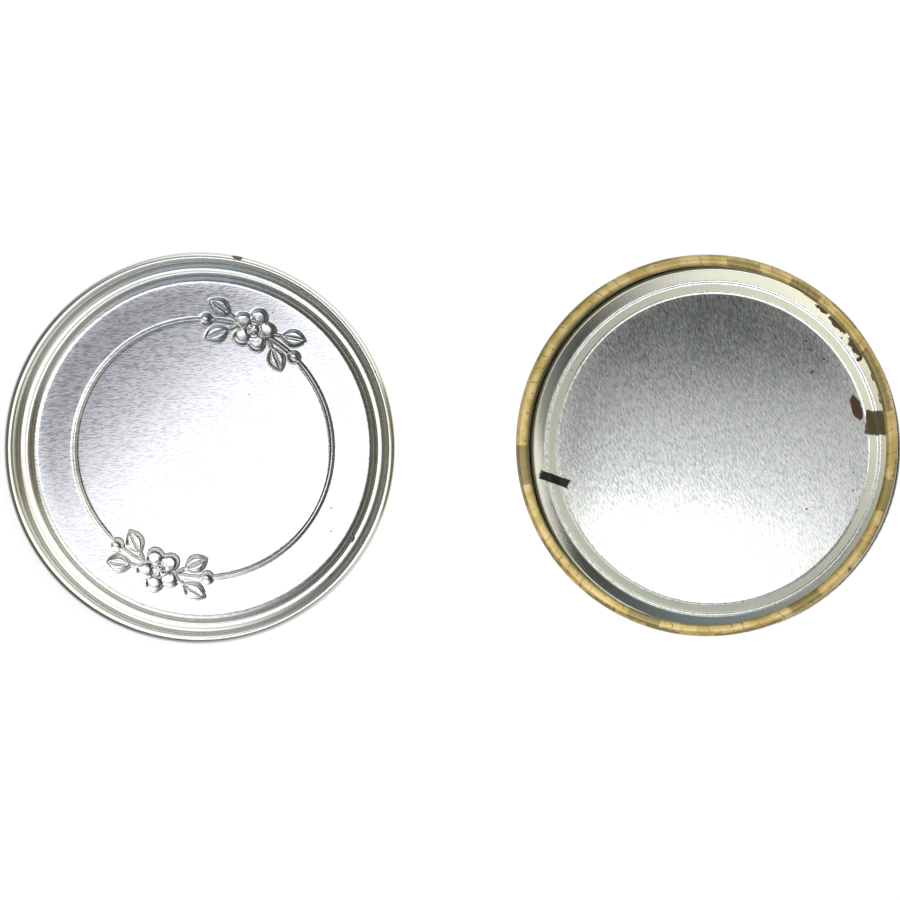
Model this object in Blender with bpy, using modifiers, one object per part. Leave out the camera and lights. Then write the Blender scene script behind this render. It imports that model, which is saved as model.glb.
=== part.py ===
"""A round slip-lid tea tin, open: the body stands upright and its lid lies upside down beside it.

Metres, +Z up. The origin is on the table, under the middle of the whole object's box.
Every piece is a turned sheet of tinplate: a line of points (radius, height) along the middle
of the sheet is turned about its own upright axis and then given the sheet's thickness.
"""

import math

import bmesh
import bpy

# Sheet and fits
SHEET = 0.00025
SEAM_CLEARANCE = 0.0003
LID_CLEARANCE = 0.00035

# Body wall, with its mouth rolled inwards
BODY_RADIUS = 0.0410
BODY_HEIGHT = 0.0900
MOUTH_ROLL_RADIUS = 0.00125
MOUTH_ROLL_TURN = 290

# Bottom end, with the seam that grips the foot of the wall
SEAM_HEIGHT = 0.0030
SEAM_BEND_RADIUS = 0.0003
END_RIDGE_HEIGHT = 0.0050
END_RIDGE_RADIUS = 0.0005
END_RIDGE_TURN = 119
END_SLOPE_WIDTH = 0.0031
END_GROOVE_WIDTH = 0.0006
END_GROOVE_DROP = 0.0014
END_STEP_WIDTH = 0.0020
END_STEP_DROP = 0.0010

# Lid, measured as it lies, with its top on the table
LID_HEIGHT = 0.0160
HEM_RADIUS = 0.0010
HEM_TURN = 290
CROWN_FILLET = 0.0020
CROWN_STRAIGHT = 0.0004
SHOULDER_WIDTH = 0.00275
SHOULDER_EDGE_RADIUS = 0.00055
SHOULDER_FOOT_RADIUS = 0.0019
RING_INSET = 0.0100
RING_WIDTH = 0.0015
RELIEF = 0.0006
RING_DEPTH_SHARE = 0.5
RING_SECTION_SHARES = ((-0.5, 0), (-0.3, 0.6), (-0.14, 1), (0.14, 1), (0.3, 0.6), (0.5, 0))

# Sprays pressed into the panel along the ring: a blossom between leaves, with a bud at each end
SPRAY_TURNS = (math.radians(67), math.radians(250))
SPRAY_SLOPE_WIDTH = 0.0007
CUTTER_OVERRUN = 0.0003
PETALS = 5
PETAL_POINTS = 4
BLOSSOM_RADIUS = 0.0052
PETAL_NOTCH_SHARE = 0.3
LEAF_POINTS = 10
LEAF_LENGTH = 0.0060
LEAF_WIDTH = 0.0042
LEAF_SPLAY = math.radians(28)
LEAF_OFFSET = 0.0030
LEAF_DISTANCE = 0.0082
BUD_POINTS = 10
BUD_RADIUS = 0.0016
BUD_DISTANCE = 0.0109

# How the two halves lie
CENTRE_DISTANCE = 0.1135

# Fineness of the turned shapes
TURN_STEPS = 64
ARC_STEPS = 5
BEND_STEPS = 3
ROLL_STEPS = 9
WELD_DISTANCE = 0.00001

GOLD_PRINT = ("gold_print", (0.61, 0.48, 0.22, 1.0), 0.35, 0.6)
BRIGHT_TINPLATE = ("bright_tinplate", (0.62, 0.62, 0.63, 1.0), 0.28, 1.0)
DRAWN_TINPLATE = ("drawn_tinplate", (0.66, 0.66, 0.66, 1.0), 0.22, 1.0)


def clear_scene():
    """Remove what the file opened with."""
    for item in list(bpy.data.objects):
        bpy.data.objects.remove(item, do_unlink=True)


def make_material(look):
    """Return the Principled material that a look describes."""
    name, colour, roughness, metallic = look
    material = bpy.data.materials.new(name)
    material.use_nodes = True
    shader = material.node_tree.nodes["Principled BSDF"]
    shader.inputs["Base Color"].default_value = colour
    shader.inputs["Roughness"].default_value = roughness
    shader.inputs["Metallic"].default_value = metallic
    material.diffuse_color = colour
    return material


def arc(centre, radius, start, end, steps=ARC_STEPS):
    """Return points on an arc of a profile, both ends included, angles in degrees."""
    points = []
    for step in range(steps + 1):
        angle = math.radians(start + (end - start) * step / steps)
        points.append((centre[0] + radius * math.cos(angle), centre[1] + radius * math.sin(angle)))
    return points


def turned_sheet(name, profile, look, collection, place):
    """Turn an open profile about Z, give it the sheet's thickness and stand it at a place."""
    mesh = bpy.data.meshes.new(name)
    shape = bmesh.new()
    corners = [shape.verts.new((radius, 0, height)) for radius, height in profile]
    for first, second in zip(corners, corners[1:]):
        shape.edges.new((first, second))
    shape.to_mesh(mesh)
    shape.free()

    item = bpy.data.objects.new(name, mesh)
    collection.objects.link(item)
    item.location = place
    mesh.materials.append(make_material(look))

    turn = item.modifiers.new("turn", "SCREW")
    turn.axis = "Z"
    turn.steps = TURN_STEPS
    turn.render_steps = TURN_STEPS
    turn.use_merge_vertices = True
    turn.merge_threshold = WELD_DISTANCE
    turn.use_smooth_shade = True

    wall = item.modifiers.new("sheet", "SOLIDIFY")
    wall.thickness = SHEET
    wall.offset = 0
    wall.use_even_offset = True
    return item


def body_wall_profile():
    """The straight wall from its foot in the seam up to the mouth, which rolls inwards."""
    middle = BODY_RADIUS - SHEET / 2
    foot = SHEET + SEAM_CLEARANCE
    roll_centre = (BODY_RADIUS - MOUTH_ROLL_RADIUS, BODY_HEIGHT - MOUTH_ROLL_RADIUS)
    roll = arc(roll_centre, MOUTH_ROLL_RADIUS - SHEET / 2, 0, MOUTH_ROLL_TURN, ROLL_STEPS)
    return [(middle, foot)] + roll


def bottom_end_profile():
    """The seam's channel under the wall's foot, then the ridge, the step and the sunk disc."""
    outside = BODY_RADIUS + SEAM_CLEARANCE + SHEET / 2
    inside = BODY_RADIUS - SHEET - SEAM_CLEARANCE - SHEET / 2
    low = SHEET / 2
    bend_height = low + SEAM_BEND_RADIUS
    channel = [(outside, SEAM_HEIGHT)]
    channel += arc((outside - SEAM_BEND_RADIUS, bend_height), SEAM_BEND_RADIUS, 0, -90,
                   BEND_STEPS)
    channel += arc((inside + SEAM_BEND_RADIUS, bend_height), SEAM_BEND_RADIUS, 270, 180,
                   BEND_STEPS)

    crest = END_RIDGE_HEIGHT - SHEET / 2
    ridge_centre = (inside - END_RIDGE_RADIUS, crest - END_RIDGE_RADIUS)
    ridge = arc(ridge_centre, END_RIDGE_RADIUS, 0, END_RIDGE_TURN)

    slope_foot = inside - END_SLOPE_WIDTH
    step_edge = slope_foot - END_GROOVE_WIDTH
    groove_height = crest - END_GROOVE_DROP
    disc_height = groove_height - END_STEP_DROP
    panel = [
        (slope_foot, groove_height),
        (step_edge, groove_height),
        (step_edge - END_STEP_WIDTH, disc_height),
        (0, disc_height),
    ]
    return channel + ridge + panel


def skirt_radius():
    """Return the radius of the middle of the lid's skirt, which slips over the body."""
    return BODY_RADIUS + LID_CLEARANCE + SHEET / 2


def ring_radius():
    """Return the radius of the ring that is pressed into the lid's panel."""
    return skirt_radius() - SHOULDER_WIDTH - RING_INSET


def lid_profile():
    """The panel with its ring, the crown's rounded edge, the shoulder, the skirt and its hem."""
    panel = RELIEF + SHEET / 2
    ring_depth = RELIEF * RING_DEPTH_SHARE
    ring = [(ring_radius() + RING_WIDTH * across, panel - ring_depth * down)
            for across, down in RING_SECTION_SHARES]

    crown = skirt_radius() - SHOULDER_WIDTH
    crown_edge = arc((crown - CROWN_FILLET, panel + CROWN_FILLET), CROWN_FILLET, -90, 0)
    edge_height = panel + CROWN_FILLET + CROWN_STRAIGHT
    shoulder_edge = arc((crown + SHOULDER_EDGE_RADIUS, edge_height), SHOULDER_EDGE_RADIUS,
                        180, 90, BEND_STEPS)
    shoulder_centre = (skirt_radius() - SHOULDER_FOOT_RADIUS,
                       edge_height + SHOULDER_EDGE_RADIUS + SHOULDER_FOOT_RADIUS)
    shoulder_foot = arc(shoulder_centre, SHOULDER_FOOT_RADIUS, -90, 0)

    hem_centre = (skirt_radius() - SHEET / 2 + HEM_RADIUS, LID_HEIGHT - HEM_RADIUS)
    hem = arc(hem_centre, HEM_RADIUS - SHEET / 2, 180, 180 - HEM_TURN, ROLL_STEPS)
    return [(0, panel)] + ring + crown_edge + shoulder_edge + shoulder_foot + hem


def blossom_outline(angle):
    """Return the blossom's edge at an angle: rounded petals with a notch between them."""
    petal = abs(math.cos(PETALS * angle / 2))
    radius = BLOSSOM_RADIUS * (1 - PETAL_NOTCH_SHARE * (1 - petal))
    return radius * math.cos(angle), radius * math.sin(angle)


def leaf_outline(angle):
    """Return the leaf's edge at an angle: pointed at both ends."""
    rise = math.sin(angle)
    return LEAF_LENGTH / 2 * math.cos(angle), LEAF_WIDTH / 2 * rise * abs(rise)


def bud_outline(angle):
    """Return the round bud's edge at an angle."""
    return BUD_RADIUS * math.cos(angle), BUD_RADIUS * math.sin(angle)


def spray_motifs(spray_turn):
    """Yield each motif of a spray: its outline, points, half width, turn and place."""
    def on_ring(distance, offset):
        angle = spray_turn + distance / ring_radius()
        reach = ring_radius() + offset
        return angle, (reach * math.cos(angle), reach * math.sin(angle))

    angle, place = on_ring(0, 0)
    yield blossom_outline, PETALS * PETAL_POINTS, BLOSSOM_RADIUS, angle, place
    for end in (-1, 1):
        angle, place = on_ring(end * BUD_DISTANCE, 0)
        yield bud_outline, BUD_POINTS, BUD_RADIUS, angle, place
        for side in (-1, 1):
            angle, place = on_ring(end * LEAF_DISTANCE, side * LEAF_OFFSET)
            turn = angle + math.pi / 2 - end * side * LEAF_SPLAY
            yield leaf_outline, LEAF_POINTS, LEAF_WIDTH / 2, turn, place


def add_motif(shape, motif, high, level, inset):
    """Add one motif as a prism that tapers downwards and has its full width at a level."""
    outline, points, half_width, turn, place = motif
    made = bmesh.ops.create_cone(shape, cap_ends=True, segments=points, radius1=1, radius2=1,
                                 depth=2)
    for corner in made["verts"]:
        height = level - RELIEF if corner.co.z < 0 else high
        narrowing = inset + (level - height) / RELIEF * SPRAY_SLOPE_WIDTH
        share = 1 - narrowing / half_width
        across, along = outline(math.atan2(corner.co.y, corner.co.x))
        corner.co.x = place[0] + share * (across * math.cos(turn) - along * math.sin(turn))
        corner.co.y = place[1] + share * (across * math.sin(turn) + along * math.cos(turn))
        corner.co.z = height


def spray_tool(name, collection, place, high, level, inset):
    """Build all the motifs as one object that joins or cuts the lid."""
    shape = bmesh.new()
    for spray_turn in SPRAY_TURNS:
        for motif in spray_motifs(spray_turn):
            add_motif(shape, motif, high, level, inset)
    mesh = bpy.data.meshes.new(name)
    shape.to_mesh(mesh)
    shape.free()
    tool = bpy.data.objects.new(name, mesh)
    tool.location = place
    tool.hide_render = True
    tool.display_type = "WIRE"
    collection.objects.link(tool)
    return tool


def press_sprays(lid, tools, place):
    """Press the sprays into the lid: they stand out below the panel and are hollow above it."""
    outer_face = RELIEF
    inner_face = RELIEF + SHEET
    relief = spray_tool("spray_relief", tools, place, outer_face + SHEET / 2, outer_face, 0)
    hollow = spray_tool("spray_hollow", tools, place, inner_face + CUTTER_OVERRUN, inner_face,
                        SHEET)
    for tool, operation in ((relief, "UNION"), (hollow, "DIFFERENCE")):
        press = lid.modifiers.new(tool.name, "BOOLEAN")
        press.operation = operation
        press.object = tool


def build_tin():
    """Build the three pieces, the body to the right and the lid to the left."""
    clear_scene()
    parts = bpy.data.collections.new("tea_tin")
    tools = bpy.data.collections.new("tea_tin_tools")
    bpy.context.scene.collection.children.link(parts)
    bpy.context.scene.collection.children.link(tools)

    body_reach = BODY_RADIUS + SEAM_CLEARANCE + SHEET
    lid_reach = BODY_RADIUS + LID_CLEARANCE + 2 * HEM_RADIUS
    body_place = ((CENTRE_DISTANCE + lid_reach - body_reach) / 2, 0, 0)
    lid_place = (body_place[0] - CENTRE_DISTANCE, 0, 0)

    turned_sheet("body_wall", body_wall_profile(), GOLD_PRINT, parts, body_place)
    turned_sheet("bottom_end", bottom_end_profile(), BRIGHT_TINPLATE, parts, body_place)
    lid = turned_sheet("lid", lid_profile(), DRAWN_TINPLATE, parts, lid_place)
    press_sprays(lid, tools, lid_place)


build_tin()
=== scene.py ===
"""An open slip-lid tea tin: the body stands upright and its lid lies top down beside it.

Metres, +Z up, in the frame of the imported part. Each sheet of tinplate is a turned shape that
replaces its plain solid. Angles are degrees. Lengths are metres, but in finishes, bands and
stains they are millimetres, save for the place of the piece's axis.
"""

import logging
import math
from dataclasses import dataclass, replace
from enum import Enum
from typing import Callable, Iterator, Optional, Union

import bmesh
import bpy
from mathutils import Matrix, Vector


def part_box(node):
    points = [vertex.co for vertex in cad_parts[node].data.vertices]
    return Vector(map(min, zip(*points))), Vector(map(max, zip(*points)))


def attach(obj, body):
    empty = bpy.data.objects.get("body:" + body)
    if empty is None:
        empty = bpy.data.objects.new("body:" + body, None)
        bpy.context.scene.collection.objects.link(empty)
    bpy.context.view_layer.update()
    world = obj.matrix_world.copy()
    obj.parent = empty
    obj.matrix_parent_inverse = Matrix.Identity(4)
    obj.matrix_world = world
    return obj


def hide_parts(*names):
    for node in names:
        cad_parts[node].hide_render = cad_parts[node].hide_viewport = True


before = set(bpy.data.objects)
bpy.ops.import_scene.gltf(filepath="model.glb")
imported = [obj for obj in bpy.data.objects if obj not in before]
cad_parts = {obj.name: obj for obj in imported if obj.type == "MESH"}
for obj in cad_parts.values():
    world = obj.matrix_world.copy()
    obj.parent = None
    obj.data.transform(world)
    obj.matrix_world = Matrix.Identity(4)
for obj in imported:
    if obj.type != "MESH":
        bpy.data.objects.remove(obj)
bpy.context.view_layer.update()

log = logging.getLogger("tea_tin")

Point = tuple[float, float]
Range = tuple[float, float]
Triple = tuple[float, float, float]
Colour = tuple[float, float, float, float]
Tree = bpy.types.NodeTree
Material = bpy.types.Material
Shape = bmesh.types.BMesh
Face = bmesh.types.BMFace
Output = bpy.types.NodeSocket
Socket = Union[Output, float, int, str, tuple]

MILLIMETRE = 0.001
# Thickness of the tinplate.
SHEET = 0.00025
# Corners nearer than this become one.
WELD_DISTANCE = 0.000002
# Faces that meet at a larger angle show an edge.
SHARP_EDGE = math.radians(38)
# A bend takes at most this share of a side.
LONGEST_BEND = 0.49
# Size and detail of the noise that frays a stain's edge.
FRAY_SIZE, FRAY_DETAIL = 1.1, 4.0
BLACK = (0.0, 0.0, 0.0, 1.0)
WHITE = (1.0, 1.0, 1.0, 1.0)


class Body(Enum):
    """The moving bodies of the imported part."""

    TIN = "tin_body"
    LID = "tin_lid"


class Slot(Enum):
    """The record's material slots."""

    GOLD_PRINT = "gold_print"
    PLAIN_TINPLATE = "plain_tinplate"
    BRIGHT_TINPLATE = "bright_tinplate"


def colour(code: str) -> Colour:
    """Turn an sRGB hex colour into linear values.

    Args:
        code: Six hex digits with a hash before them.

    Returns:
        Red, green, blue and alpha, linear.
    """
    values = [int(code[start:start + 2], 16) / 255 for start in (1, 3, 5)]
    linear = [v / 12.92 if v <= 0.04045 else ((v + 0.055) / 1.055) ** 2.4 for v in values]
    return linear[0], linear[1], linear[2], 1.0


def add_node(tree: Tree, kind: str, inputs: Optional[dict[Union[int, str], Socket]] = None,
             **settings: Union[str, float, bool]) -> bpy.types.Node:
    """Add a node with its settings, and link or set its inputs.

    Args:
        tree: The node tree that gets the node.
        kind: The node's type name.
        inputs: Input name or number, with the socket that feeds it or its fixed value.
        settings: The node's own properties.

    Returns:
        The new node.
    """
    node = tree.nodes.new(kind)
    for name, value in settings.items():
        setattr(node, name, value)
    for name, value in (inputs or {}).items():
        if isinstance(value, bpy.types.NodeSocket):
            tree.links.new(value, node.inputs[name])
        else:
            node.inputs[name].default_value = value
    return node


def sum_of(tree: Tree, operation: str, *values: Socket) -> Output:
    """Do one sum on numbers, as a node, and return what comes out."""
    return add_node(tree, "ShaderNodeMath", dict(enumerate(values)),
                    operation=operation).outputs[0]


def vector_sum(tree: Tree, operation: str, *values: Socket) -> Output:
    """Do one sum on vectors, as a node, and return the vector or number that comes out."""
    inputs = dict(enumerate(values))
    outputs = add_node(tree, "ShaderNodeVectorMath", inputs, operation=operation).outputs
    return outputs["Value" if operation in ("LENGTH", "DOT_PRODUCT") else "Vector"]


def turn_vector(tree: Tree, vector: Socket, angle: Socket) -> Output:
    """Turn a vector about Z by an angle in radians and return it."""
    return add_node(tree, "ShaderNodeVectorRotate", {"Vector": vector, "Angle": angle}).outputs[0]


def axes_of(tree: Tree, vector: Socket) -> tuple[Output, ...]:
    """Return a vector's share along X, Y and Z."""
    return tuple(add_node(tree, "ShaderNodeSeparateXYZ", {0: vector}).outputs)


def blend_values(tree: Tree, share: Socket, first: Socket, second: Socket) -> Output:
    """Mix two numbers by a share and return the number that comes out."""
    return add_node(tree, "ShaderNodeMix", {0: share, 2: first, 3: second}).outputs[0]


def blend(tree: Tree, share: Socket, first: Socket, second: Socket) -> Output:
    """Mix two colours by a share and return the colour that comes out."""
    inputs = {0: share, 6: first, 7: second}
    return add_node(tree, "ShaderNodeMix", inputs, data_type="RGBA").outputs[2]


def ramp(tree: Tree, value: Socket, low: float, high: float, start: float = 0.0,
         end: float = 1.0, smooth: bool = True) -> Output:
    """Map a value from one range to another, held at both ends.

    Args:
        tree: The node tree.
        value: The value to map.
        low, high: The range that it comes from.
        start, end: The range that it is mapped to.
        smooth: Whether the way between is eased.

    Returns:
        The mapped value.
    """
    inputs = {"Value": value, "From Min": low, "From Max": high, "To Min": start, "To Max": end}
    kind = "SMOOTHSTEP" if smooth else "LINEAR"
    node = add_node(tree, "ShaderNodeMapRange", inputs, interpolation_type=kind, clamp=True)
    return node.outputs[0]


def new_material(name: str) -> tuple[Material, Tree]:
    """Make an empty node material.

    Args:
        name: The material's name.

    Returns:
        The material and its node tree.
    """
    material = bpy.data.materials.new(name)
    material.use_nodes = True
    material.node_tree.nodes.clear()
    return material, material.node_tree


def surface_output(tree: Tree, shader: bpy.types.Node) -> None:
    """Join a shader to the material's output."""
    add_node(tree, "ShaderNodeOutputMaterial", {"Surface": shader.outputs[0]})


class Outline(Enum):
    """The outline of a stain before its edge is frayed."""

    ROUND = "round"
    SQUARE = "square"


@dataclass(frozen=True)
class Blot:
    """A stain: its middle about the piece's axis, its half sizes and its edge.

    A stain without a height marks whatever lies above or below its middle too.
    """

    x: float
    y: float
    half_length: float
    half_width: float
    turn: float = 0.0
    ragged: float = 0.35
    tone: str = "#2A2118"
    outline: Outline = Outline.ROUND
    height: Optional[float] = None
    half_rise: float = 1.5
    edge: float = 0.06

    def mask(self, tree: Tree, place: Socket, fray: Socket) -> Output:
        """Work out how much the stain covers.

        Args:
            tree: The node tree.
            place: The place about the axis.
            fray: Noise that frays the edge.

        Returns:
            The cover, 0 to 1.
        """
        centred = vector_sum(tree, "SUBTRACT", place, (self.x, self.y, self.height or 0.0))
        turned = turn_vector(tree, centred, -math.radians(self.turn))
        rise = 0.0 if self.height is None else 1 / self.half_rise
        scale = (1 / self.half_length, 1 / self.half_width, rise)
        sized = vector_sum(tree, "MULTIPLY", turned, scale)
        if self.outline is Outline.ROUND:
            reach = vector_sum(tree, "LENGTH", sized)
        else:
            along, across, _ = axes_of(tree, vector_sum(tree, "ABSOLUTE", sized))
            reach = sum_of(tree, "MAXIMUM", along, across)
        wobble = sum_of(tree, "MULTIPLY_ADD", fray, self.ragged * 2, -self.ragged)
        return ramp(tree, sum_of(tree, "ADD", reach, wobble), 1 + self.edge, 1 - self.edge)


class Across(Enum):
    """What a band is measured by."""

    RADIUS = "radius"
    HEIGHT = "height"


@dataclass(frozen=True)
class Band:
    """A band of duller tin round the piece's axis, from one radius or height to another, some of
    it painted shade.
    """

    low: float
    high: float
    tone: str
    metal: float
    roughness: float
    edge: float = 0.12
    across: Across = Across.RADIUS

    def share(self, tree: Tree, place: Socket) -> Output:
        """Work out how far the band covers a place.

        Args:
            tree: The node tree.
            place: The place about the axis.

        Returns:
            The cover, 0 to 1.
        """
        x, y, measure = axes_of(tree, place)
        if self.across is Across.RADIUS:
            flat = add_node(tree, "ShaderNodeCombineXYZ", {0: x, 1: y}).outputs[0]
            measure = vector_sum(tree, "LENGTH", flat)
        begun = ramp(tree, measure, self.low - self.edge, self.low + self.edge)
        unended = ramp(tree, measure, self.high + self.edge, self.high - self.edge)
        return sum_of(tree, "MULTIPLY", begun, unended)


def millimetres_about(tree: Tree, middle: Point) -> Output:
    """Work out the place on the object about an upright axis.

    Args:
        tree: The node tree.
        middle: Where the axis stands, in metres.

    Returns:
        The place, in millimetres.
    """
    place = add_node(tree, "ShaderNodeTexCoord").outputs["Object"]
    centred = vector_sum(tree, "SUBTRACT", place, (middle[0], middle[1], 0.0))
    return vector_sum(tree, "MULTIPLY", centred, (1 / MILLIMETRE,) * 3)


def noise_of(tree: Tree, place: Socket, size: float, detail: float = 2.0) -> Output:
    """Return even noise from 0 to 1 whose blobs have a size in millimetres."""
    return add_node(tree, "ShaderNodeTexNoise", {
        "Vector": place, "Scale": 1 / size, "Detail": detail}).outputs[0]


def lay_stains(tree: Tree, place: Socket, tone: Socket,
               blots: tuple[Blot, ...]) -> tuple[Socket, Socket]:
    """Lay stains over a colour.

    Args:
        tree: The node tree.
        place: The place about the axis.
        tone: The colour beneath.
        blots: The stains.

    Returns:
        The stained colour, and how much of the surface the stains cover.
    """
    fray = noise_of(tree, place, FRAY_SIZE, FRAY_DETAIL)
    cover: Socket = 0.0
    for blot in blots:
        mask = blot.mask(tree, place, fray)
        tone = blend(tree, mask, tone, colour(blot.tone))
        cover = sum_of(tree, "MAXIMUM", cover, mask)
    return tone, cover


@dataclass(frozen=True)
class Tinplate:
    """Cold-rolled steel sheet with a bright tin coat, pressed as it came from the mill.

    The rolls leave fine parallel grain that breaks each highlight into short streaks, and the
    coat is a soft grey metal, between satin and mirror. Tea dust leaves a few dark specks.
    """

    name: str
    middle: Point
    grain_turn: float
    sheet_tone: str = "#DCDDDB"
    grain_tone: str = "#B4B6B7"
    grain_width: float = 0.24
    grain_length: float = 1.3
    grain_detail: float = 3.0
    grain_depth: float = 0.008
    grain_contrast: Range = (0.36, 0.56)
    speckle_size: float = 0.34
    speckle_share: float = 0.7
    cloud_size: float = 9.0
    cloud_share: float = 0.35
    wear: Range = (0.45, 0.90)
    roughness: Range = (0.145, 0.215)
    stain_roughness: float = 0.35
    speck_tone: str = "#3A3226"
    speck_spacing: float = 2.6
    speck_chance: Range = (0.82, 1.0)
    speck_size: float = 0.10
    speck_edge: float = 0.02
    bands: tuple[Band, ...] = ()
    blots: tuple[Blot, ...] = ()

    def specks(self, tree: Tree, place: Socket) -> Output:
        """Scatter a few specks of tea dust.

        Args:
            tree: The node tree.
            place: The place about the axis.

        Returns:
            How much the specks cover, 0 to 1.
        """
        cells = add_node(tree, "ShaderNodeTexVoronoi", {
            "Vector": place, "Scale": 1 / self.speck_spacing}).outputs
        chance = add_node(tree, "ShaderNodeSeparateColor", {0: cells["Color"]}).outputs[0]
        size = ramp(tree, chance, *self.speck_chance, 0.0, self.speck_size, smooth=False)
        near = sum_of(tree, "SUBTRACT", size, cells["Distance"])
        return ramp(tree, near, 0.0, self.speck_edge)

    def build(self) -> Material:
        """Make the material.

        Returns:
            The material.
        """
        material, tree = new_material(self.name)
        place = millimetres_about(tree, self.middle)
        turned = turn_vector(tree, place, -math.radians(self.grain_turn))
        scale = (1 / self.grain_length, 1 / self.grain_width, 1 / self.grain_length)
        stretched = vector_sum(tree, "MULTIPLY", turned, scale)
        grain = noise_of(tree, stretched, 1.0, self.grain_detail)
        speckle = noise_of(tree, place, self.speckle_size)
        cloud = noise_of(tree, place, self.cloud_size)
        tone: Socket = blend(tree, ramp(tree, grain, *self.grain_contrast),
                             colour(self.grain_tone), colour(self.sheet_tone))
        worn = sum_of(tree, "MULTIPLY_ADD", cloud, self.cloud_share, grain)
        roughness: Socket = ramp(tree, worn, *self.wear, *self.roughness)
        metal: Socket = 1.0
        for band in self.bands:
            share = band.share(tree, place)
            tone = blend(tree, share, tone, colour(band.tone))
            metal = blend_values(tree, share, metal, band.metal)
            roughness = blend_values(tree, share, roughness, band.roughness)
        tone, cover = lay_stains(tree, place, tone, self.blots)
        specks = self.specks(tree, place)
        tone = blend(tree, specks, tone, colour(self.speck_tone))
        cover = sum_of(tree, "MAXIMUM", cover, specks)
        metal = sum_of(tree, "MULTIPLY", metal, sum_of(tree, "SUBTRACT", 1.0, cover))
        roughness = sum_of(tree, "MULTIPLY_ADD", cover, self.stain_roughness, roughness)
        height = sum_of(tree, "MULTIPLY_ADD", speckle, self.speckle_share, grain)
        bump = add_node(tree, "ShaderNodeBump", {
            "Strength": 1.0, "Distance": self.grain_depth * MILLIMETRE, "Height": height})
        shader = add_node(tree, "ShaderNodeBsdfPrincipled", {
            "Base Color": tone, "Metallic": metal, "Roughness": roughness,
            "Normal": bump.outputs[0]})
        surface_output(tree, shader)
        return material


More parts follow.
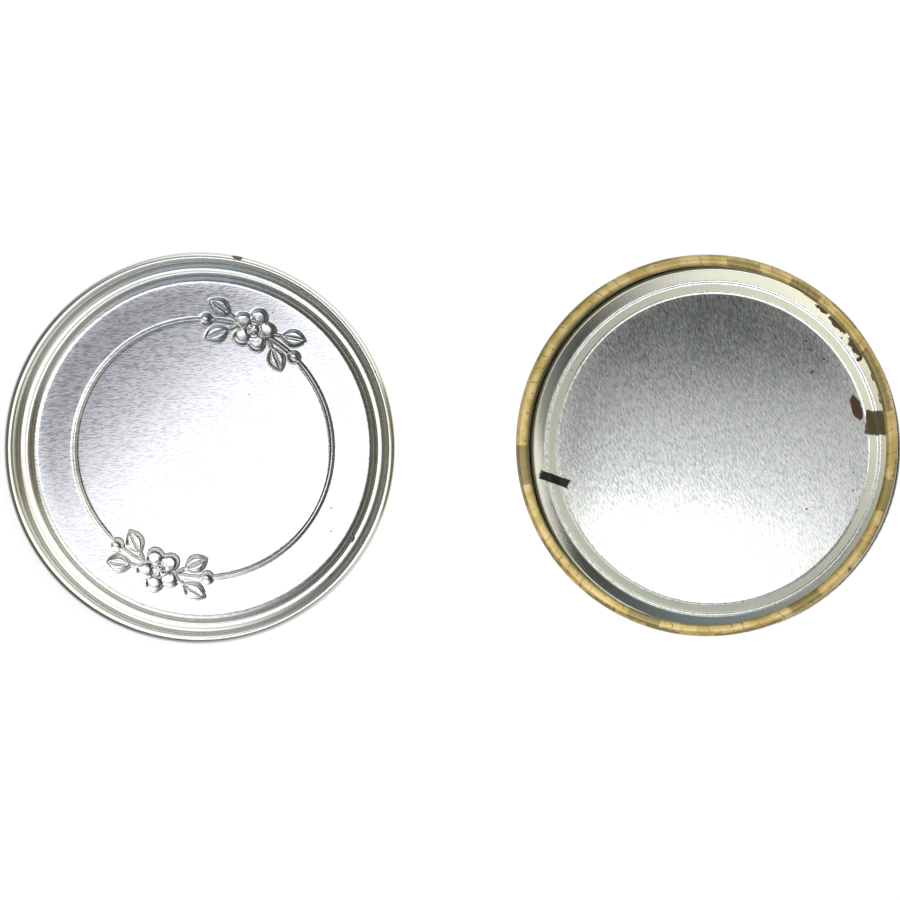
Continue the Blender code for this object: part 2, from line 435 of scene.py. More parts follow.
@dataclass(frozen=True)
class PrintedTinplate:
    """Litho-printed tinplate under a clear stoving varnish.

    The ink is a warm gold over the metal, so it keeps a soft metallic glow, and the varnish
    gives it a clean gloss. Borders of broken blocks and hairlines hold a field of tea leaves.
    """

    name: str
    middle: Point
    radius: float
    top_border: float
    foot_border: float
    # Length along the profile past which the sheet is painted dark brown as shade.
    shade_line_from: float
    ground: str = "#8F7B40"
    ground_pale: str = "#A5915F"
    block: str = "#665B32"
    line: str = "#463720"
    cloud_scale: float = 0.22
    cloud_detail: float = 3.0
    border_cloud: Range = (0.4, 0.62)
    field_cloud: Range = (0.2, 0.8)
    field_paleness: Range = (0.25, 0.55)
    block_length: float = 7.5
    block_width: float = 1.9
    block_stagger: float = 0.37
    block_bias: float = -0.1
    block_cut: Range = (0.5, 0.62)
    block_ink: float = 0.9
    drift_scale: float = 0.9
    drift_reach: float = 1.1
    hair_spacing: float = 2.7
    hair_slant: float = 0.35
    hair_edge: Range = (0.05, 0.02)
    hair_ink: float = 0.85
    gap_size: float = 1.3
    gap_edge: Range = (0.46, 0.54)
    leaf_spacing: float = 8.5
    leaf_scatter: float = 0.55
    leaf_length: float = 6.0
    leaf_width: float = 2.1
    leaf_margin: float = 0.9
    leaf_edge: float = 0.04
    leaf_outline: Range = (0.12, 0.2)
    leaf_rib: Range = (0.05, 0.13)
    border_edge: float = 0.03
    rule_spacing: float = 0.6
    rule_edge: Range = (0.16, 0.08)
    rule_reach: Range = (1.2, 1.1)
    # Half width of the soft edge of that painted shade.
    shade_line_edge: float = 0.25
    wear_size: float = 0.5
    wear: Range = (0.3, 0.7)
    roughness: Range = (0.28, 0.38)
    metal: float = 0.30
    coat: float = 0.25
    coat_roughness: float = 0.2
    blots: tuple[Blot, ...] = ()

    def border(self, tree: Tree, sheet: Socket, tone: Socket) -> Socket:
        """Print broken blocks and slanting hairlines over a colour.

        Args:
            tree: The node tree.
            sheet: The place on the flat sheet.
            tone: The colour beneath.

        Returns:
            The printed colour.
        """
        drift = add_node(tree, "ShaderNodeTexNoise", {
            "Vector": sheet, "Scale": self.drift_scale, "Detail": 2.0}).outputs[1]
        shift = vector_sum(tree, "SUBTRACT", drift, (0.5, 0.5, 0.5))
        reach = (self.drift_reach, self.drift_reach, 0.0)
        moved = vector_sum(tree, "MULTIPLY_ADD", shift, reach, sheet)
        blocks = add_node(tree, "ShaderNodeTexBrick", {
            "Vector": moved, "Color1": BLACK, "Color2": WHITE, "Mortar": BLACK, "Scale": 1.0,
            "Mortar Size": 0.0, "Bias": self.block_bias, "Brick Width": self.block_length,
            "Row Height": self.block_width}, offset=self.block_stagger).outputs[0]
        share = ramp(tree, blocks, *self.block_cut, 0.0, self.block_ink)
        tone = blend(tree, share, tone, colour(self.block))
        slant = vector_sum(tree, "DOT_PRODUCT", moved, (1.0, self.hair_slant, 0.0))
        cells = add_node(tree, "ShaderNodeTexVoronoi", {
            "W": slant, "Scale": 1 / self.hair_spacing}, voronoi_dimensions="1D",
            feature="DISTANCE_TO_EDGE").outputs["Distance"]
        gaps = noise_of(tree, sheet, self.gap_size, 1.0)
        ink = ramp(tree, gaps, *self.gap_edge, 0.0, self.hair_ink)
        hairs = sum_of(tree, "MULTIPLY", ramp(tree, cells, *self.hair_edge), ink)
        return blend(tree, hairs, tone, colour(self.line))

    def leaves(self, tree: Tree, sheet: Socket, tone: Socket) -> Socket:
        """Print scattered tea leaves with a pale rib over a colour.

        Args:
            tree: The node tree.
            sheet: The place on the flat sheet.
            tone: The colour beneath.

        Returns:
            The printed colour.
        """
        cells = add_node(tree, "ShaderNodeTexVoronoi", {
            "Vector": sheet, "Scale": 1 / self.leaf_spacing, "Randomness": self.leaf_scatter},
            voronoi_dimensions="2D").outputs
        local = vector_sum(tree, "SUBTRACT", sheet, cells["Position"])
        chance = add_node(tree, "ShaderNodeSeparateColor", {0: cells["Color"]}).outputs[0]
        turned = turn_vector(tree, local, sum_of(tree, "MULTIPLY", chance, math.tau))
        along, aside, _ = axes_of(tree, turned)
        share = sum_of(tree, "MULTIPLY", along, 2 / self.leaf_length)
        taper = sum_of(tree, "SUBTRACT", 1.0, sum_of(tree, "MULTIPLY", share, share))
        across = sum_of(tree, "ABSOLUTE", aside)
        half = sum_of(tree, "MULTIPLY", taper, self.leaf_width / 2)
        inside = sum_of(tree, "SUBTRACT", half, across)
        middle = axes_of(tree, cells["Position"])[1]
        margin = self.leaf_length / 2 + self.leaf_margin
        highest = sum_of(tree, "LESS_THAN", middle, self.top_border - margin)
        lowest = sum_of(tree, "GREATER_THAN", middle, self.foot_border + margin)
        kept = sum_of(tree, "MULTIPLY", highest, lowest)
        whole = ramp(tree, inside, -self.leaf_edge, self.leaf_edge)
        tone = blend(tree, sum_of(tree, "MULTIPLY", kept, whole), tone, colour(self.line))
        inner, off_rib = ramp(tree, inside, *self.leaf_outline), ramp(tree, across, *self.leaf_rib)
        blade = sum_of(tree, "MULTIPLY", kept, sum_of(tree, "MULTIPLY", inner, off_rib))
        return blend(tree, blade, tone, colour(self.block))

    def build(self) -> Material:
        """Make the material.

        Returns:
            The material.
        """
        material, tree = new_material(self.name)
        place = millimetres_about(tree, self.middle)
        x, y, _ = axes_of(tree, place)
        around = sum_of(tree, "MULTIPLY", sum_of(tree, "ARCTAN2", y, x), self.radius)
        along = add_node(tree, "ShaderNodeAttribute", attribute_name="along").outputs["Fac"]
        up = sum_of(tree, "MULTIPLY", along, 1 / MILLIMETRE)
        sheet = add_node(tree, "ShaderNodeCombineXYZ", {0: around, 1: up}).outputs[0]

        ink, pale, line = colour(self.ground), colour(self.ground_pale), colour(self.line)
        cloud = add_node(tree, "ShaderNodeTexNoise", {
            "Vector": sheet, "Scale": self.cloud_scale, "Detail": self.cloud_detail}).outputs[0]
        lively = blend(tree, ramp(tree, cloud, *self.border_cloud), ink, pale)
        calm = blend(tree, ramp(tree, cloud, *self.field_cloud, *self.field_paleness), ink, pale)
        top = sum_of(tree, "SUBTRACT", up, self.top_border)
        foot = sum_of(tree, "SUBTRACT", self.foot_border, up)
        beyond = sum_of(tree, "MAXIMUM", top, foot)
        bordered = ramp(tree, beyond, -self.border_edge, self.border_edge)
        tone = blend(tree, bordered, self.leaves(tree, sheet, calm),
                     self.border(tree, sheet, lively))
        shifted = sum_of(tree, "ADD", beyond, self.rule_spacing / 2)
        rules = sum_of(tree, "PINGPONG", shifted, self.rule_spacing)
        reach = ramp(tree, sum_of(tree, "ABSOLUTE", beyond), *self.rule_reach)
        ruled = sum_of(tree, "MULTIPLY", ramp(tree, rules, *self.rule_edge), reach)
        tone = blend(tree, ruled, tone, line)
        # Painted shade: the sheet past the roll's innermost point, tucked under the roll, turns
        # dark brown.
        roll_shade = ramp(tree, up, self.shade_line_from - self.shade_line_edge, self.shade_line_from + self.shade_line_edge)
        tone = blend(tree, roll_shade, tone, line)
        tone, cover = lay_stains(tree, place, tone, self.blots)
        worn = noise_of(tree, place, self.wear_size)
        shader = add_node(tree, "ShaderNodeBsdfPrincipled", {
            "Base Color": tone,
            "Metallic": ramp(tree, cover, 0.0, 1.0, self.metal, 0.0, smooth=False),
            "Roughness": ramp(tree, worn, *self.wear, *self.roughness),
            "Coat Weight": self.coat, "Coat Roughness": self.coat_roughness})
        surface_output(tree, shader)
        return material


def arc(centre: Point, radius: float, start: float, end: float, steps: int) -> list[Point]:
    """Return points on an arc of a profile, both ends included."""
    turns = [math.radians(start + (end - start) * step / steps) for step in range(steps + 1)]
    return [(centre[0] + radius * math.cos(t), centre[1] + radius * math.sin(t)) for t in turns]


def spread(start: Point, end: Point, steps: int) -> list[Point]:
    """Return evenly spaced points between two points, neither end included."""
    shares = [step / steps for step in range(1, steps)]
    return [(start[0] + (end[0] - start[0]) * s, start[1] + (end[1] - start[1]) * s)
            for s in shares]


def ease_corners(points: list[Point], reach: float, steps: int) -> list[Point]:
    """Round the inner corners of an open line.

    Args:
        points: The line's corners.
        reach: How far from a corner the bend starts, held under half of each side.
        steps: How many parts each bend has.

    Returns:
        The line with a smooth bend in place of each inner corner.
    """
    eased = [points[0]]
    for before, corner, after in zip(points, points[1:], points[2:]):
        middle = Vector(corner)
        sides = [Vector(end) - middle for end in (before, after)]
        start, end = (middle + side.normalized() * min(reach, side.length * LONGEST_BEND)
                      for side in sides)
        for step in range(steps + 1):
            share = step / steps
            bend = start.lerp(middle, share).lerp(middle.lerp(end, share), share)
            eased.append((bend.x, bend.y))
    return eased + [points[-1]]


def turn_profile(profile: list[Point], steps: int) -> Shape:
    """Turn a profile a full turn about Z, as the middle of a sheet.

    Args:
        profile: Points of radius and height along the sheet, from one edge to the other.
        steps: How many faces the full turn has.

    Returns:
        The turned shape, with the length along the profile in the vertex layer "along".
    """
    shape = bmesh.new()
    along = shape.verts.layers.float.new("along")
    corners = []
    length = 0.0
    for index, (radius, height) in enumerate(profile):
        if index:
            length += math.dist(profile[index - 1], profile[index])
        corner = shape.verts.new((radius, 0, height))
        corner[along] = length
        corners.append(corner)
    edges = [shape.edges.new(pair) for pair in zip(corners, corners[1:])]
    bmesh.ops.spin(shape, geom=corners + edges, cent=(0, 0, 0), axis=(0, 0, 1), dvec=(0, 0, 0),
                   angle=math.tau, steps=steps, use_merge=True, use_normal_flip=False,
                   use_duplicate=False)
    bmesh.ops.remove_doubles(shape, verts=shape.verts, dist=WELD_DISTANCE)
    bmesh.ops.recalc_face_normals(shape, faces=shape.faces)
    return shape


def face_way(shape: Shape, wanted: Callable[[Face], float]) -> None:
    """Turn all faces over if, summed up, they point against the wanted way."""
    if sum(wanted(face) * face.calc_area() for face in shape.faces) < 0:
        bmesh.ops.reverse_faces(shape, faces=shape.faces)


def sheet_object(name: str, shape: Shape, place: Point,
                 finishes: list[Material]) -> bpy.types.Object:
    """Give a turned shape the sheet's thickness and make it an object.

    Args:
        name: The piece's name.
        shape: The middle of the sheet, which is freed.
        place: Where its upright axis stands.
        finishes: The material of the face side, then that of the back and the edges.

    Returns:
        The finished object, at the origin.
    """
    bmesh.ops.translate(shape, verts=shape.verts, vec=(place[0], place[1], 0))
    mesh = bpy.data.meshes.new(name)
    shape.to_mesh(mesh)
    shape.free()
    for finish in finishes:
        mesh.materials.append(finish)
    item = bpy.data.objects.new(name, mesh)
    bpy.context.scene.collection.objects.link(item)

    wall = item.modifiers.new("sheet", "SOLIDIFY")
    wall.thickness = SHEET
    wall.offset = 0
    wall.use_even_offset = False
    wall.material_offset = wall.material_offset_rim = len(finishes) - 1
    evaluated = item.evaluated_get(bpy.context.evaluated_depsgraph_get())
    item.data = bpy.data.meshes.new_from_object(evaluated)
    item.modifiers.clear()
    item.data.shade_smooth()
    item.data.set_sharp_from_angle(angle=SHARP_EDGE)
    item.data.name = name
    bpy.data.meshes.remove(mesh)
    return item


def hand_over(item: bpy.types.Object, body: Body, node: str) -> None:
    """Let a finished piece ride on its body, stand for its node, and report it.

    Args:
        item: The piece.
        body: The body that it rides on.
        node: The node that it replaces.
    """
    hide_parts(node)
    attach(item, body.value)
    log.info("%s: %d faces, on %s", item.name, len(item.data.polygons), body.value)


def middle_of(node: str) -> Point:
    """Return where a turned node's upright axis stands."""
    low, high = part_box(node)
    return (low.x + high.x) / 2, (low.y + high.y) / 2


@dataclass
class TinBody:
    """The open body: a printed wall with its mouth rolled inwards, and the pressed bottom."""

    radius: float = 0.0410
    height: float = 0.0900
    mouth_roll_radius: float = 0.00125
    mouth_roll_turn: float = 290
    foot: float = 0.00055
    seam_clearance: float = 0.0003
    seam_height: float = 0.0030
    seam_bend: float = 0.0003
    ridge_height: float = 0.0050
    ridge_radius: float = 0.0005
    ridge_turn: float = 119
    slope_width: float = 0.0031
    groove_width: float = 0.0006
    groove_drop: float = 0.0014
    step_width: float = 0.0020
    step_drop: float = 0.0010
    step_bend: float = 0.0004
    disc_rim_share: float = 0.9
    turn_steps: int = 256
    wall_steps: int = 24
    roll_steps: int = 26
    ridge_steps: int = 14
    bend_steps: int = 6
    disc_steps: int = 10
    top_border: float = 80.0
    foot_border: float = 9.0
    # Length along the wall past which the roll's tucked-under end is painted dark brown as shade.
    roll_shade_from: float = 91.6
    step_margins: Range = (0.35, 0.15)
    haze_gap: float = 1.0
    # Radius at which the painted shade over the seam begins.
    seam_shade_radius: float = 39.8
    # Painted shade: a darker olive, duller band at the foot of the deep tin's inner wall.
    foot_shade: Band = Band(-1.0, 12.0, "#9C9A7C", 0.45, 0.4, 2.0, Across.HEIGHT)
    rim_blots: tuple[Blot, ...] = (
        Blot(30.9, -26.9, 0.9, 0.5, -41, 0.5, "#5B2F1C", height=89.6),
    )
    end_blots: tuple[Blot, ...] = (
        Blot(-35.3, -6.8, 3.3, 0.95, -19.5, 0.28, "#24241F", Outline.SQUARE),
        Blot(31.8, 9.1, 2.9, 1.15, -72, 0.30, "#4A2C1E"),
        Blot(36.3, 5.7, 2.5, 2.7, -4, 0.22, "#544A2B", Outline.SQUARE),
        Blot(24.3, 30.9, 1.7, 0.55, -38, 0.9, "#4C4630"),
        Blot(27.6, 27.6, 2.6, 0.75, -45, 0.8, "#544B2E"),
        Blot(31.6, 22.6, 2.6, 1.0, -56, 0.7, "#5A4A34"),
        Blot(32.5, 19.8, 0.7, 0.45, 30, 0.5, "#3C3428"),
        Blot(35.9, 15.8, 1.6, 0.7, -66, 0.8, "#544B2E"),
        Blot(37.6, 11.0, 1.9, 0.75, -74, 0.7, "#5A4A34"),
        Blot(20.65, 23.9, 0.30, 0.24, 10, 0.4),
        Blot(21.8, 21.9, 0.24, 0.20, 70, 0.4),
        Blot(24.6, 19.9, 0.38, 0.20, 0, 0.4),
        Blot(22.0, 17.0, 0.46, 0.26, 40, 0.4),
    )

    @property
    def seam_inside(self) -> float:
        """Radius of the seam's inner leg, which stands inside the wall."""
        return self.radius - SHEET - self.seam_clearance - SHEET / 2

    @property
    def step_edge(self) -> float:
        """Radius at which the groove ends and the sloped step starts."""
        return self.seam_inside - self.slope_width - self.groove_width

    def wall_profile(self) -> list[Point]:
        """Draw the wall.

        Returns:
            Points from its foot up to the inward roll.
        """
        foot = (self.radius - SHEET / 2, self.foot)
        centre = (self.radius - self.mouth_roll_radius, self.height - self.mouth_roll_radius)
        roll = arc(centre, self.mouth_roll_radius - SHEET / 2, 0, self.mouth_roll_turn,
                   self.roll_steps)
        return [foot] + spread(foot, roll[0], self.wall_steps) + roll

    def end_profile(self) -> list[Point]:
        """Draw the bottom end.

        Returns:
            Points from the seam's outer edge in to the middle.
        """
        outside = self.radius + self.seam_clearance + SHEET / 2
        inside, bend = self.seam_inside, self.seam_bend
        bend_height = SHEET / 2 + bend
        seam = [(outside, self.seam_height)]
        seam += arc((outside - bend, bend_height), bend, 0, -90, self.bend_steps)
        seam += arc((inside + bend, bend_height), bend, 270, 180, self.bend_steps)
        crest = self.ridge_height - SHEET / 2
        ridge = arc((inside - self.ridge_radius, crest - self.ridge_radius), self.ridge_radius,
                    0, self.ridge_turn, self.ridge_steps)
        groove_height = crest - self.groove_drop
        disc_edge = (self.step_edge - self.step_width, groove_height - self.step_drop)
        disc = (disc_edge[0] * self.disc_rim_share, disc_edge[1])
        corners = [ridge[-1], (inside - self.slope_width, groove_height),
                   (self.step_edge, groove_height), disc_edge, disc]
        panel = ease_corners(corners, self.step_bend, self.bend_steps)
        centre = (0.0, disc[1])
        return seam + ridge[:-1] + panel + spread(disc, centre, self.disc_steps) + [centre]

    def build(self) -> None:
        """Build the wall and the bottom end and put them on the body."""
        place = middle_of("body_wall")
        wall = turn_profile(self.wall_profile(), self.turn_steps)
        face_way(wall, lambda face: face.calc_center_median().xy.to_3d().dot(face.normal)
                 if face.calc_center_median().z < self.height / 2 else 0.0)
        # Gold ink under varnish: a warm, half metallic ground with a soft gloss, and painted shade
        # where the roll tucks under.
        printed = PrintedTinplate(
            "litho_printed_tinplate", place, self.radius / MILLIMETRE, self.top_border,
            self.foot_border, self.roll_shade_from, blots=self.rim_blots)
        # The bare coat, rolled smooth: nearly a mirror, with painted shade at the foot, a darker
        # olive and duller tin.
        inner = Tinplate(
            "plain_tinplate_wall", place, 90, sheet_tone="#DADAD4", grain_tone="#C4C4BC",
            grain_depth=0.004, roughness=(0.08, 0.12), bands=(self.foot_shade,))
        item = sheet_object("wall_sheet", wall, place, [printed.build(), inner.build()])
        hand_over(item, Body.TIN, "body_wall")

        end = turn_profile(self.end_profile(), self.turn_steps)
        face_way(end, lambda face: face.normal.z)
        inset, outset = self.step_margins
        step, seam_shade_start = self.step_edge / MILLIMETRE, self.seam_shade_radius
        matt_step = Band((self.step_edge - self.step_width) / MILLIMETRE + inset, step - outset,
                         "#E8EADB", 0.60, 0.35)
        slope_haze = Band(step + self.haze_gap, seam_shade_start, "#CFCEC6", 1.0, 0.09)
        # Painted shade: a darker olive, duller band over the seam, in the corner at the foot of
        # the deep tin.
        seam_shade = Band(seam_shade_start, self.radius / MILLIMETRE - 0.1, "#9C9A7C", 0.4, 0.4)
        # The underside, clean cold-rolled sheet: long streaks of grain in a satin grey.
        below = Tinplate("rolled_tinplate_underside", place, 112, grain_length=1.15,
                         grain_width=0.14)
        # The same sheet inside, paler, with a matt step, a hazy slope, painted shade over the seam
        # and the marks of use.
        above = replace(
            below, name="rolled_tinplate_end", sheet_tone="#E2E4E1", grain_tone="#B8BBBA",
            bands=(matt_step, slope_haze, seam_shade), blots=self.end_blots)
        item = sheet_object("bottom_sheet", end, place, [above.build(), below.build()])
        hand_over(item, Body.TIN, "bottom_end")


@dataclass
class PressedSpray:
    """A pressed spray on the lid's ring: a blossom between four leaves, a bud at each end."""

    turn: float
    ring_radius: float
    depth: float = 0.0006
    petals: int = 5
    blossom_radius: float = 0.0052
    blossom_dome: float = 0.0015
    notch_share: float = 0.3
    crease_share: float = 0.38
    crease_power: float = 1.3
    crease_reach: float = 1.1
    heart_share: float = 0.4
    heart_radius: float = 0.0014
    heart_width: float = 0.00040
    leaf_length: float = 0.0060
    leaf_width: float = 0.0042
    leaf_splay: float = 28
    leaf_offset: float = 0.0030
    leaf_distance: float = 0.0082
    leaf_dome: float = 0.0011
    rib_share: float = 0.45
    rib_width: float = 0.00025
    rib_fade: float = 1.5
    stem_share: float = 0.55
    stem_overlap: float = 0.6
    stem_half: float = 0.00045
    stem_length: float = 0.0017
    bud_radius: float = 0.0016
    bud_distance: float = 0.0109
    reach: float = 0.0130

    def on_ring(self, distance: float, offset: float) -> tuple[float, Vector]:
        """Find a motif's place on the ring.

        Args:
            distance: How far along the ring it lies from the blossom.
            offset: How far outside the ring.

        Returns:
            Its turn in radians and its place.
        """
        angle = math.radians(self.turn) + distance / self.ring_radius
        reach = self.ring_radius + offset
        return angle, Vector((reach * math.cos(angle), reach * math.sin(angle)))

    def dome(self, inside: float, reach: float) -> float:
        """Return the rounded rise from a motif's edge, 0 to 1, for a distance inside it."""
        share = min(max(inside / reach, 0.0), 1.0)
        return math.sin(math.pi / 2 * share)

    def blossom(self, across: float, along: float) -> float:
        """Shape the blossom: round petals with creases between them round a pressed heart.

        Args:
            across: First distance from its middle.
            along: Second distance.

        Returns:
            Its depth there.
        """
        distance = math.hypot(across, along)
        petal = abs(math.cos(self.petals * math.atan2(along, across) / 2))
        outline = self.blossom_radius * (1 - self.notch_share * (1 - petal))
        rise = self.dome(outline - distance, self.blossom_dome)
        share = min(distance / outline, 1.0)
        crease = self.crease_share * (1 - petal) ** self.crease_power \
            * math.sin(math.pi * min(share * self.crease_reach, 1.0))
        heart = self.heart_share * math.exp(-((distance - self.heart_radius)
                                              / self.heart_width) ** 2)
        return self.depth * max(rise - crease - heart, 0.0) if rise else 0.0

    def leaf(self, across: float, along: float) -> float:
        """Shape a leaf with a rib and a stem.

        Args:
            across: Distance from its middle towards its tip.
            along: Distance aside.

        Returns:
            Its depth there.
        """
        half = self.leaf_length / 2
        stem = 0.0
        if -half - self.stem_length < across < 0:
            stem = self.stem_share * self.dome(self.stem_half - abs(along), self.stem_half)
        taper = 1 - (across / half) ** 2
        if taper <= 0:
            return self.depth * stem
        rise = self.dome(self.leaf_width / 2 * taper - abs(along), self.leaf_dome)
        rib = self.rib_share * math.exp(-(along / self.rib_width) ** 2) \
            * min(taper * self.rib_fade, 1.0)
        return self.depth * max(rise - rib, stem * self.stem_overlap, 0.0)

    def bud(self, across: float, along: float) -> float:
        """Return the round bud's depth at a point about its middle."""
        return self.depth * self.dome(self.bud_radius - math.hypot(across, along),
                                      self.bud_radius)

    def motifs(self) -> Iterator[tuple[Callable[[float, float], float], float, Vector]]:
        """Go through the spray's motifs.

        Yields:
            Each motif's shape, its turn in radians and its place.
        """
        angle, place = self.on_ring(0, 0)
        yield self.blossom, angle, place
        for end in (-1, 1):
            angle, place = self.on_ring(end * self.bud_distance, 0)
            yield self.bud, angle, place
            for side in (-1, 1):
                angle, place = self.on_ring(end * self.leaf_distance, side * self.leaf_offset)
                splay = end * side * math.radians(self.leaf_splay)
                yield self.leaf, angle + end * math.pi / 2 - splay, place

    def near(self, point: Vector) -> bool:
        """Say whether a point of the panel lies within the spray's reach."""
        return (point.xy - self.on_ring(0, 0)[1]).length < self.reach

    def press(self, point: Vector) -> float:
        """Work out how deep the spray presses the panel.

        Args:
            point: A point of the panel.

        Returns:
            The depth there.
        """
        depth = 0.0
        for motif, turn, place in self.motifs():
            local = Matrix.Rotation(-turn, 2) @ (point.xy - place)
            depth = max(depth, motif(local.x, local.y))
        return depth


@dataclass
class Lid:
    """The lid, top down: panel with ring and sprays, crown, shoulder, skirt and curled hem."""

    body_radius: float = 0.0410
    clearance: float = 0.00035
    height: float = 0.0160
    hem_radius: float = 0.0010
    hem_turn: float = 290
    crown_fillet: float = 0.0020
    crown_straight: float = 0.0004
    shoulder_width: float = 0.00275
    edge_radius: float = 0.00055
    foot_radius: float = 0.0019
    ring_inset: float = 0.0100
    ring_width: float = 0.0015
    ring_relief: float = 0.0003
    relief: float = 0.0006
    spray_turns: Point = (67, 250)
    turn_steps: int = 240
    panel_steps: int = 6
    ring_half_steps: int = 4
    ring_gap: float = 0.0002
    crown_steps: int = 12
    edge_steps: int = 8
    foot_steps: int = 10
    skirt_steps: int = 6
    hem_steps: int = 18
    dense_band: Range = (0.0231, 0.0343)
    dense_rings: int = 17
    dense_cuts: int = 3
    grain_turn: float = 4
    drawn: Band = Band(37.8, 50.0, "#CFCFC9", 0.95, 0.21, 0.5)
    blots: tuple[Blot, ...] = (
        Blot(8.4, 42.2, 1.2, 0.45, -11, 0.9, "#463E2C", height=15.6),
        Blot(33.6, -20.3, 0.8, 0.22, 59, 0.5, "#3E372B", height=3.8),
        Blot(28.7, -28.1, 1.1, 0.25, 46, 0.5, "#4E4630", height=4.0),
        Blot(36.4, -20.6, 0.9, 0.20, 61, 0.5, "#4E4630", height=15.6),
    )

    @property
    def skirt(self) -> float:
        """Radius of the middle of the skirt."""
        return self.body_radius + self.clearance + SHEET / 2

    @property
    def panel(self) -> float:
        """Height of the middle of the panel."""
        return self.relief + SHEET / 2

    @property
    def ring(self) -> float:
        """Radius of the pressed ring."""
        return self.skirt - self.shoulder_width - self.ring_inset

    def profile(self) -> list[Point]:
        """Draw the lid, with the ring still flat.

        Returns:
            Points from the panel's middle out to the hem.
        """
        inner, outer = self.dense_band
        centre, start = (0.0, self.panel), (inner, self.panel)
        half = self.ring_half_steps
        ring = [self.ring + self.ring_width * step / (2 * half)
                for step in range(-half, half + 1)]
        rough = [inner + (outer - inner) * step / self.dense_rings
                 for step in range(1, self.dense_rings)]
        kept = [r for r in rough if not ring[0] - self.ring_gap < r < ring[-1] + self.ring_gap]
        flat = [centre] + spread(centre, start, self.panel_steps) + [start]
        flat += [(radius, self.panel) for radius in sorted(kept + ring) + [outer]]
        crown = self.skirt - self.shoulder_width
        edge = arc((crown - self.crown_fillet, self.panel + self.crown_fillet),
                   self.crown_fillet, -90, 0, self.crown_steps)
        rise = self.panel + self.crown_fillet + self.crown_straight
        low = arc((crown + self.edge_radius, rise), self.edge_radius, 180, 90, self.edge_steps)
        rise += self.edge_radius + self.foot_radius
        high = arc((self.skirt - self.foot_radius, rise), self.foot_radius, -90, 0,
                   self.foot_steps)
        centre = (self.skirt - SHEET / 2 + self.hem_radius, self.height - self.hem_radius)
        hem = arc(centre, self.hem_radius - SHEET / 2, 180, 180 - self.hem_turn, self.hem_steps)
        skirt = spread(high[-1], hem[0], self.skirt_steps)
        return flat + edge + low + high + skirt + hem

    def ring_depth(self, radius: float) -> float:
        """Return how deep the ring presses the panel at a radius."""
        share = abs(radius - self.ring) / (self.ring_width / 2)
        return self.ring_relief * 0.5 * (1 + math.cos(math.pi * share)) if share < 1 else 0.0

    def press_relief(self, shape: Shape) -> None:
        """Refine the panel round the sprays and press the ring and the sprays into it.

        Args:
            shape: The turned lid.
        """
        sprays = [PressedSpray(turn, self.ring) for turn in self.spray_turns]
        inner, outer = self.dense_band
        low, high = inner - WELD_DISTANCE, outer + WELD_DISTANCE
        near = [face for face in shape.faces
                if all(low < corner.co.xy.length < high for corner in face.verts)
                and any(spray.near(face.calc_center_median()) for spray in sprays)]
        edges = list({edge for face in near for edge in face.edges})
        bmesh.ops.subdivide_edges(shape, edges=edges, cuts=self.dense_cuts, use_grid_fill=True)
        for corner in shape.verts:
            radius = corner.co.xy.length
            if low < radius < high and corner.co.z < self.panel + WELD_DISTANCE:
                depth = self.ring_depth(radius)
                for spray in sprays:
                    if spray.near(corner.co):
                        depth = max(depth, spray.press(corner.co))
                corner.co.z -= depth

    def build(self) -> None:
        """Build the lid and put it on its body."""
        place = middle_of("lid")
        shape = turn_profile(self.profile(), self.turn_steps)
        face_way(shape, lambda face: face.normal.z)
        self.press_relief(shape)
        # Drawn from the bright sheet: satin on the panel, duller where the draw stretched it.
        inside = Tinplate(
            "drawn_tinplate_lid", place, self.grain_turn, sheet_tone="#D0D0D2",
            grain_tone="#B0B1B3", bands=(self.drawn,), blots=self.blots)
        # The lid's outside, with the same look and without the marks.
        outside = replace(inside, name="drawn_tinplate_outside", blots=())
        item = sheet_object("lid_sheet", shape, place, [inside.build(), outside.build()])
        hand_over(item, Body.LID, "lid")


@dataclass
class Softbox:
    """A rectangular studio lamp that hangs level: its place, size, turn and brightness."""

    name: str
    place: Triple
    size: Point
    turn: float
    brightness: float
    tone: str = "#FFFFFF"
    mirrored: bool = True

    def build(self) -> None:
        """Hang the lamp, with its power worked out from the brightness of its face.

        A lamp that isn't mirrored lights matt surfaces only, and leaves no patch on the tin.
        """
        lamp = bpy.data.lights.new(self.name, "AREA")
        lamp.shape = "RECTANGLE"
        lamp.size, lamp.size_y = self.size
        lamp.energy = self.brightness * math.pi * self.size[0] * self.size[1]
        lamp.color = colour(self.tone)[:3]
        item = bpy.data.objects.new(self.name, lamp)
        item.location = self.place
        item.rotation_euler = (0, 0, math.radians(self.turn))
        item.visible_camera = False
        item.visible_glossy = self.mirrored
        bpy.context.scene.collection.objects.link(item)


@dataclass(frozen=True)
class RoomTone:
    """A soft patch of the room's light: where it lies, in degrees, and its tone."""

    azimuth: float
    elevation: float
    tone: str
    strength: float
    sharpness: float = 12.0

    @property
    def way(self) -> Triple:
        """Direction of the patch's middle."""
        azimuth, elevation = math.radians(self.azimuth), math.radians(self.elevation)
        level = math.cos(elevation)
        return level * math.cos(azimuth), level * math.sin(azimuth), math.sin(elevation)

    def light(self, tree: Tree, way: Socket) -> Output:
        """Work out the patch's light.

        Args:
            tree: The world's nodes.
            way: The direction that is looked in.

        Returns:
            The light from there.
        """
        facing = vector_sum(tree, "DOT_PRODUCT", way, self.way)
        share = sum_of(tree, "POWER", sum_of(tree, "MAXIMUM", facing, 0.0), self.sharpness)
        lit = [channel * self.strength for channel in colour(self.tone)[:3]]
        return vector_sum(tree, "MULTIPLY", lit, share)


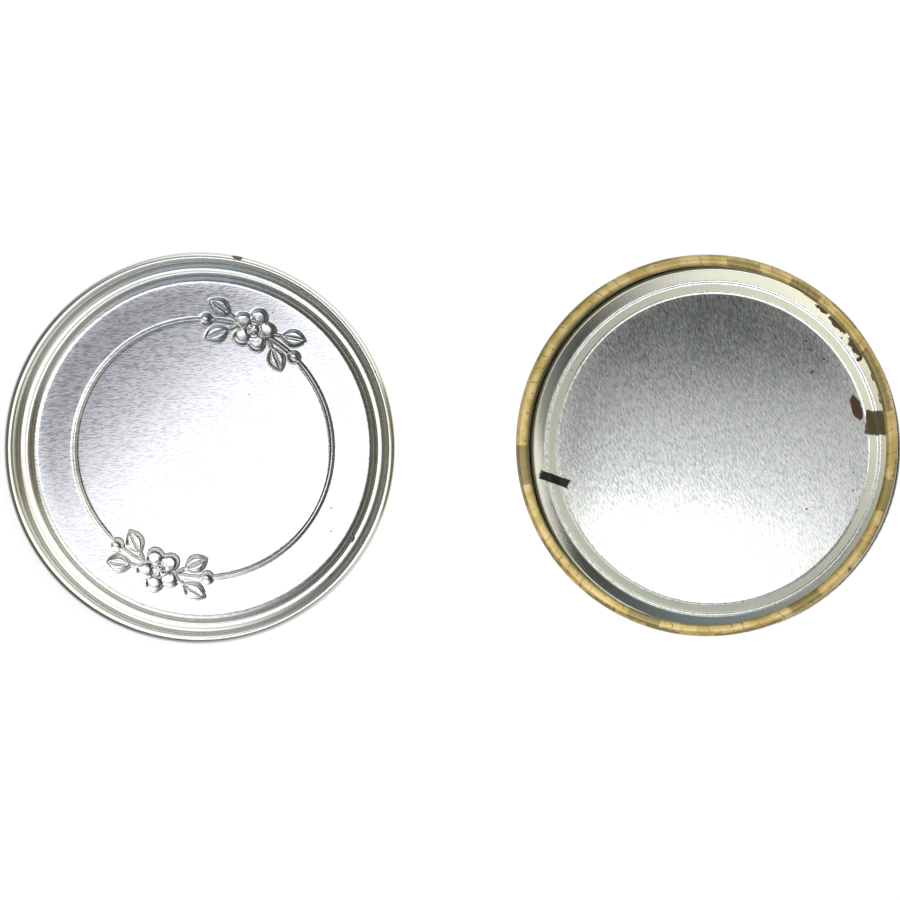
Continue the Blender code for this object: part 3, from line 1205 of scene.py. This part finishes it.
@dataclass
class Studio:
    """A pale floor, soft light from around, and the camera far above the table."""

    floor_half: float = 12.0
    floor_tone: str = "#F8F8F6"
    floor_glow: float = 0.8
    floor_glow_strength: float = 1.06
    horizon: Range = (0.09, 0.04)
    camera_place: Triple = (0.0970, -0.0203, 2.590)
    camera_aim: Triple = (0.0010, -0.0007, 0.0500)
    lens: float = 466.0
    sensor: float = 36.0
    softboxes: tuple[Softbox, ...] = (
        Softbox("lid_softbox", (-0.0476, -0.0222, 0.20), (0.100, 0.090), 40, 2.3, "#FAFAFF"),
        Softbox("lid_fill", (-0.0940, 0.0330, 0.20), (0.110, 0.056), 40, 0.42, "#F2F3FC"),
        Softbox("body_key", (0.026, -0.048, 0.20), (0.062, 0.066), 0, 3.4),
        Softbox("body_side", (0.084, -0.048, 0.20), (0.054, 0.066), 0, 1.8),
        Softbox("body_fill", (0.064, 0.002, 0.20), (0.090, 0.030), 0, 0.70),
        Softbox("matt_fill", (0.0, 0.0, 0.60), (0.500, 0.500), 0, 3.8, mirrored=False),
    )
    room_base: Triple = (0.050, 0.057, 0.055)
    room_tones: tuple[RoomTone, ...] = (
        RoomTone(0, 14, "#FFFFC8", 0.60),
        RoomTone(0, 38, "#FFFFF2", 0.90),
        RoomTone(45, 14, "#F4F4F0", 0.90),
        RoomTone(45, 38, "#FFFFF0", 1.80),
        RoomTone(90, 14, "#FFF9E2", 0.50),
        RoomTone(90, 38, "#FBFCFF", 1.70),
        RoomTone(180, 28, "#F6F4B4", 0.16),
        RoomTone(225, 26, "#FFFFD8", 0.06),
        RoomTone(270, 14, "#BCD6EA", 0.70),
        RoomTone(270, 38, "#DCE8FF", 0.22),
        RoomTone(315, 14, "#FEFFFB", 0.80),
        RoomTone(315, 38, "#FAFAF4", 0.35),
    )

    def build_floor(self) -> None:
        """Lay the floor, pale from above and clear from below."""
        shape = bmesh.new()
        bmesh.ops.create_grid(shape, x_segments=1, y_segments=1, size=self.floor_half)
        mesh = bpy.data.meshes.new("floor")
        shape.to_mesh(mesh)
        shape.free()
        floor = bpy.data.objects.new("floor", mesh)
        bpy.context.scene.collection.objects.link(floor)
        # A matt white table top that also glows to the eye, so that it stays evenly pale.
        material, tree = new_material("pale_table_top")
        rays = add_node(tree, "ShaderNodeLightPath").outputs
        seen = sum_of(tree, "MAXIMUM", rays["Is Camera Ray"], rays["Is Glossy Ray"])
        seen = sum_of(tree, "MAXIMUM", seen, rays["Is Transmission Ray"])
        matt = add_node(tree, "ShaderNodeBsdfDiffuse", {"Color": colour(self.floor_tone)})
        glow = add_node(tree, "ShaderNodeEmission", {"Strength": self.floor_glow_strength})
        share = sum_of(tree, "MULTIPLY", seen, self.floor_glow)
        lit = add_node(tree, "ShaderNodeMixShader", {
            0: share, 1: matt.outputs[0], 2: glow.outputs[0]})
        clear = add_node(tree, "ShaderNodeBsdfTransparent")
        below = add_node(tree, "ShaderNodeNewGeometry").outputs["Backfacing"]
        both = add_node(tree, "ShaderNodeMixShader", {
            0: below, 1: lit.outputs[0], 2: clear.outputs[0]})
        surface_output(tree, both)
        mesh.materials.append(material)

    def build_world(self) -> None:
        """Light the room from around: a low even tone, soft patches and a pale horizon."""
        world = bpy.data.worlds.new("studio")
        world.use_nodes = True
        tree = world.node_tree
        tree.nodes.clear()
        way = add_node(tree, "ShaderNodeTexCoord").outputs["Generated"]
        total: Socket = self.room_base
        for patch in self.room_tones:
            total = vector_sum(tree, "ADD", total, patch.light(tree, way))
        low = ramp(tree, axes_of(tree, way)[2], *self.horizon)
        tone = blend(tree, low, total, WHITE)
        sky = add_node(tree, "ShaderNodeBackground", {"Color": tone})
        add_node(tree, "ShaderNodeOutputWorld", {"Surface": sky.outputs[0]})
        bpy.context.scene.world = world

    def build_camera(self) -> None:
        """Set the camera, level with the picture's edges, and make it the scene's."""
        data = bpy.data.cameras.new("camera")
        data.type = "PERSP"
        data.lens = self.lens
        data.sensor_width = self.sensor
        item = bpy.data.objects.new("camera", data)
        place = Vector(self.camera_place)
        ahead = (Vector(self.camera_aim) - place).normalized()
        right = (Vector((1, 0, 0)) - ahead * ahead.x).normalized()
        up = (-ahead).cross(right)
        item.matrix_world = Matrix.Translation(place) @ Matrix(
            (right, up, -ahead)).transposed().to_4x4()
        bpy.context.scene.collection.objects.link(item)
        bpy.context.scene.camera = item

    def build(self) -> None:
        """Build the floor, the light and the camera."""
        self.build_floor()
        self.build_world()
        for softbox in self.softboxes:
            softbox.build()
        self.build_camera()
        bpy.context.scene.view_settings.view_transform = "Standard"


def main() -> None:
    """Build the tin and its studio in order and report each piece."""
    logging.basicConfig(level=logging.INFO, format="%(name)s: %(message)s")
    TinBody().build()
    Lid().build()
    Studio().build()


if __name__ == "__main__":
    main()
